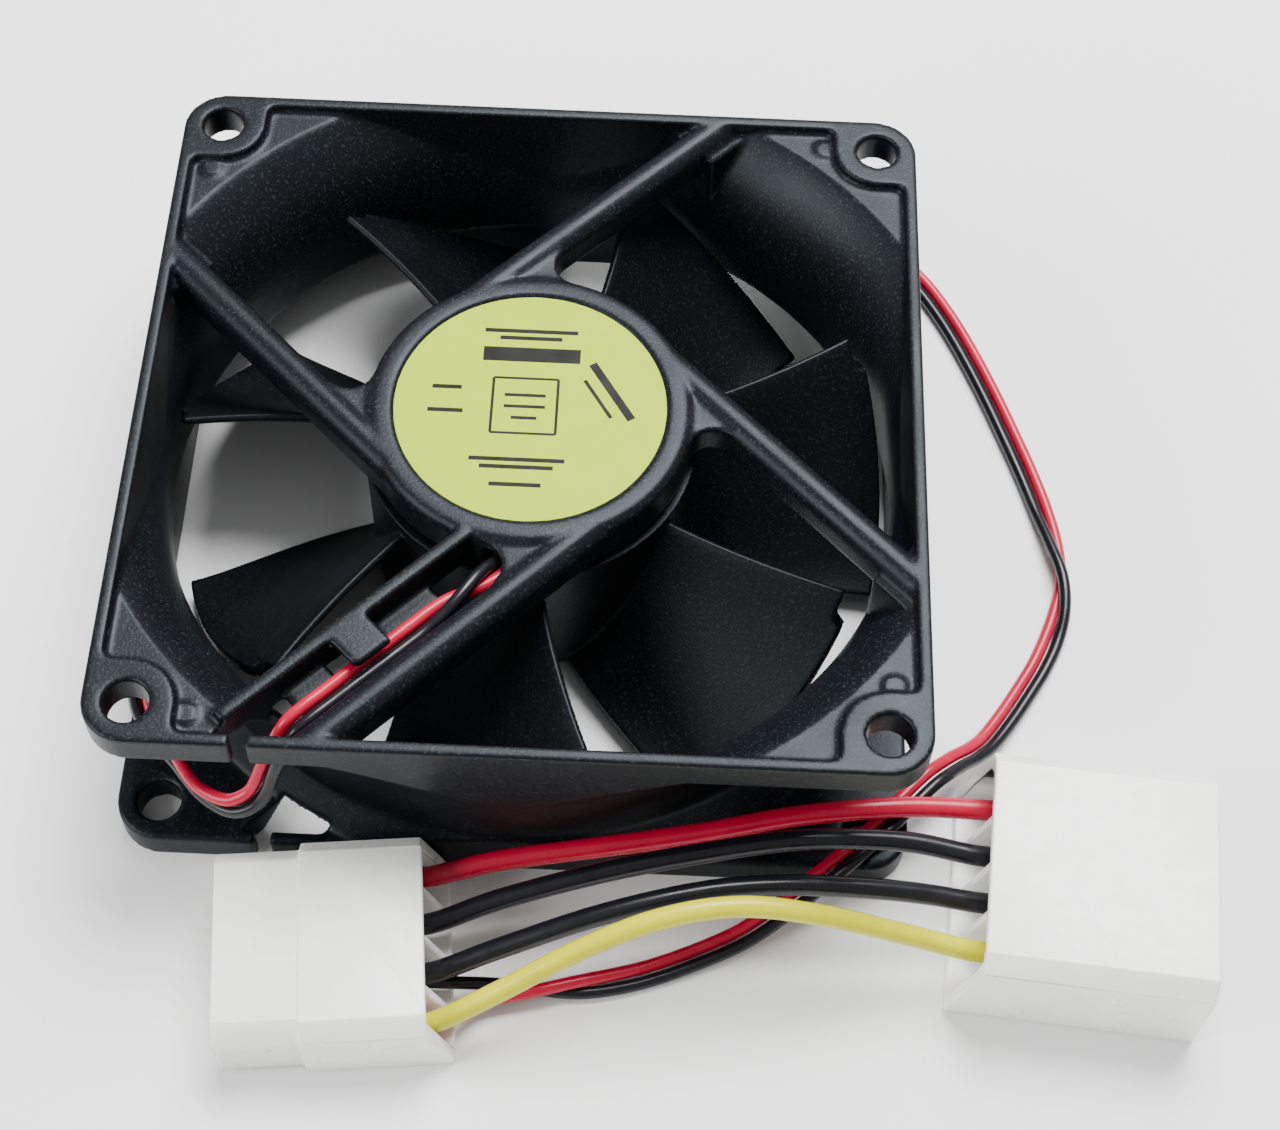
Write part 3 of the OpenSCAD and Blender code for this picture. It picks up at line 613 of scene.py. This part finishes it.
def blade_grid():
    """Points and faces of one blade: two skins and the strips that join their edges."""
    rows, cols = BLADE_ROWS, BLADE_COLS
    shorter = (RELIEF_R - ROOT_R) / (TIP_R - ROOT_R)
    skins = []
    for side in (1, -1):
        for i in range(rows + 1):
            for j in range(cols + 1):
                s, t = i / rows, j / cols
                point = blade_skin(s, t, side)
                # Above the relief's foot the blade ends at the relief's radius
                skins.append(blade_skin(s * shorter, t, side) if point.z > RELIEF_Z else point)
    wide = cols + 1
    count = wide * (rows + 1)
    faces = []
    for i in range(rows):
        for j in range(cols):
            a = i * wide + j
            quad = (a, a + 1, a + wide + 1, a + wide)
            faces += [quad[::-1], tuple(q + count for q in quad)]
    border = (
        list(range(wide))
        + [i * wide + cols for i in range(1, rows + 1)]
        + [rows * wide + j for j in range(cols - 1, -1, -1)]
        + [i * wide for i in range(rows - 1, 0, -1)]
    )
    for a, b in zip(border, border[1:] + border[:1]):
        faces.append((a, b, b + count, a + count))
    return skins, faces


def make_impeller():
    points, faces = turned(hub_profile())
    blade_points, blade_faces = blade_grid()
    for k in range(BLADES):
        spin = Matrix.Rotation(math.radians(BLADE_PHASE) + 2 * math.pi * k / BLADES, 3, "Z")
        start = len(points)
        points += [spin @ p for p in blade_points]
        faces += [tuple(start + i for i in face) for face in blade_faces]
    mesh = bpy.data.meshes.new("impeller_moulding")
    mesh.from_pydata([place(p) for p in points], [], faces)
    shape = bmesh.new()
    shape.from_mesh(mesh)
    bmesh.ops.recalc_face_normals(shape, faces=shape.faces)
    shape.to_mesh(mesh)
    shape.free()
    piece = stand_in(bpy.data.objects.new("impeller_moulding", mesh), "impeller")
    even_out(piece, *IMPELLER_GRID)


make_impeller()

# ---- wires ----


def wire(node, points, steps, diameter):
    """A wire on one smooth curve, which stands for its CAD node."""
    route = smooth(points, steps)
    data = bpy.data.curves.new(node + "_wire", "CURVE")
    data.dimensions = "3D"
    data.bevel_depth = diameter / 2 * MM
    data.bevel_resolution = 5
    data.use_fill_caps = True
    spline = data.splines.new("POLY")
    spline.points.add(len(route) - 1)
    for target, point in zip(spline.points, route):
        target.co = (*place(point), 1)
    spline.use_smooth = True
    piece = stand_in(bpy.data.objects.new(node + "_wire", data), node)


def lead(node, side, start, finish, lane):
    points = [*start, *pair_route(side), *finish, lead_end(lane)]
    wire(node, points, LEAD_STEPS, LEAD_D)


def jumper(node, middle, lane):
    first = terminal(SOCKET_AT, SOCKET_TURN, lane, SOCKET_H / 2)
    last = terminal(PIN_AT, PIN_TURN, -lane, PIN_H / 2)
    wire(node, [first, *middle, last], JUMPER_STEPS, JUMPER_D)


lead("lead_red", 1, RED_START, RED_END, 1.5)
lead("lead_black", -1, BLACK_START, BLACK_END, 0.5)
jumper("jumper_red", RED_MIDDLE, -1.5)
jumper("jumper_black_inner", INNER_BLACK_MIDDLE, -0.5)
jumper("jumper_black_outer", OUTER_BLACK_MIDDLE, 0.5)
jumper("jumper_yellow", YELLOW_MIDDLE, 1.5)

# ---- floor and light ----

FLOOR_SIZE_M, FLOOR_DROP = 6, 0.02


def make_floor():
    bpy.ops.mesh.primitive_plane_add(size=FLOOR_SIZE_M, location=(0, 0, -FLOOR_DROP * MM))
    floor = bpy.context.object
    floor.name = "floor"
    finish = Finish("floor_paper", roughness=0.9)
    finish.set(base_color=finish.ramp(finish.noise(60, 2), (0.3, 0.86), (0.7, 0.9)))
    floor.data.materials.append(finish.material)


def soft_light(name, at, size, power):
    """A round light at a place in metres, aimed at the origin."""
    data = bpy.data.lights.new(name, "AREA")
    data.shape = "DISK"
    data.size = size
    data.energy = power
    light = link(bpy.data.objects.new(name, data))
    light.location = at
    light.rotation_euler = (-Vector(at)).to_track_quat("-Z", "Y").to_euler()


def make_world(grey, strength):
    world = bpy.data.worlds.new("studio")
    world.use_nodes = True
    background = world.node_tree.nodes["Background"]
    background.inputs["Color"].default_value = (grey, grey, grey, 1)
    background.inputs["Strength"].default_value = strength
    bpy.context.scene.world = world


make_floor()
soft_light("key", (0.12, 0.28, 0.6), size=0.45, power=13)
soft_light("side", (-0.5, -0.25, 0.35), size=0.4, power=4)
make_world(grey=1.0, strength=0.6)
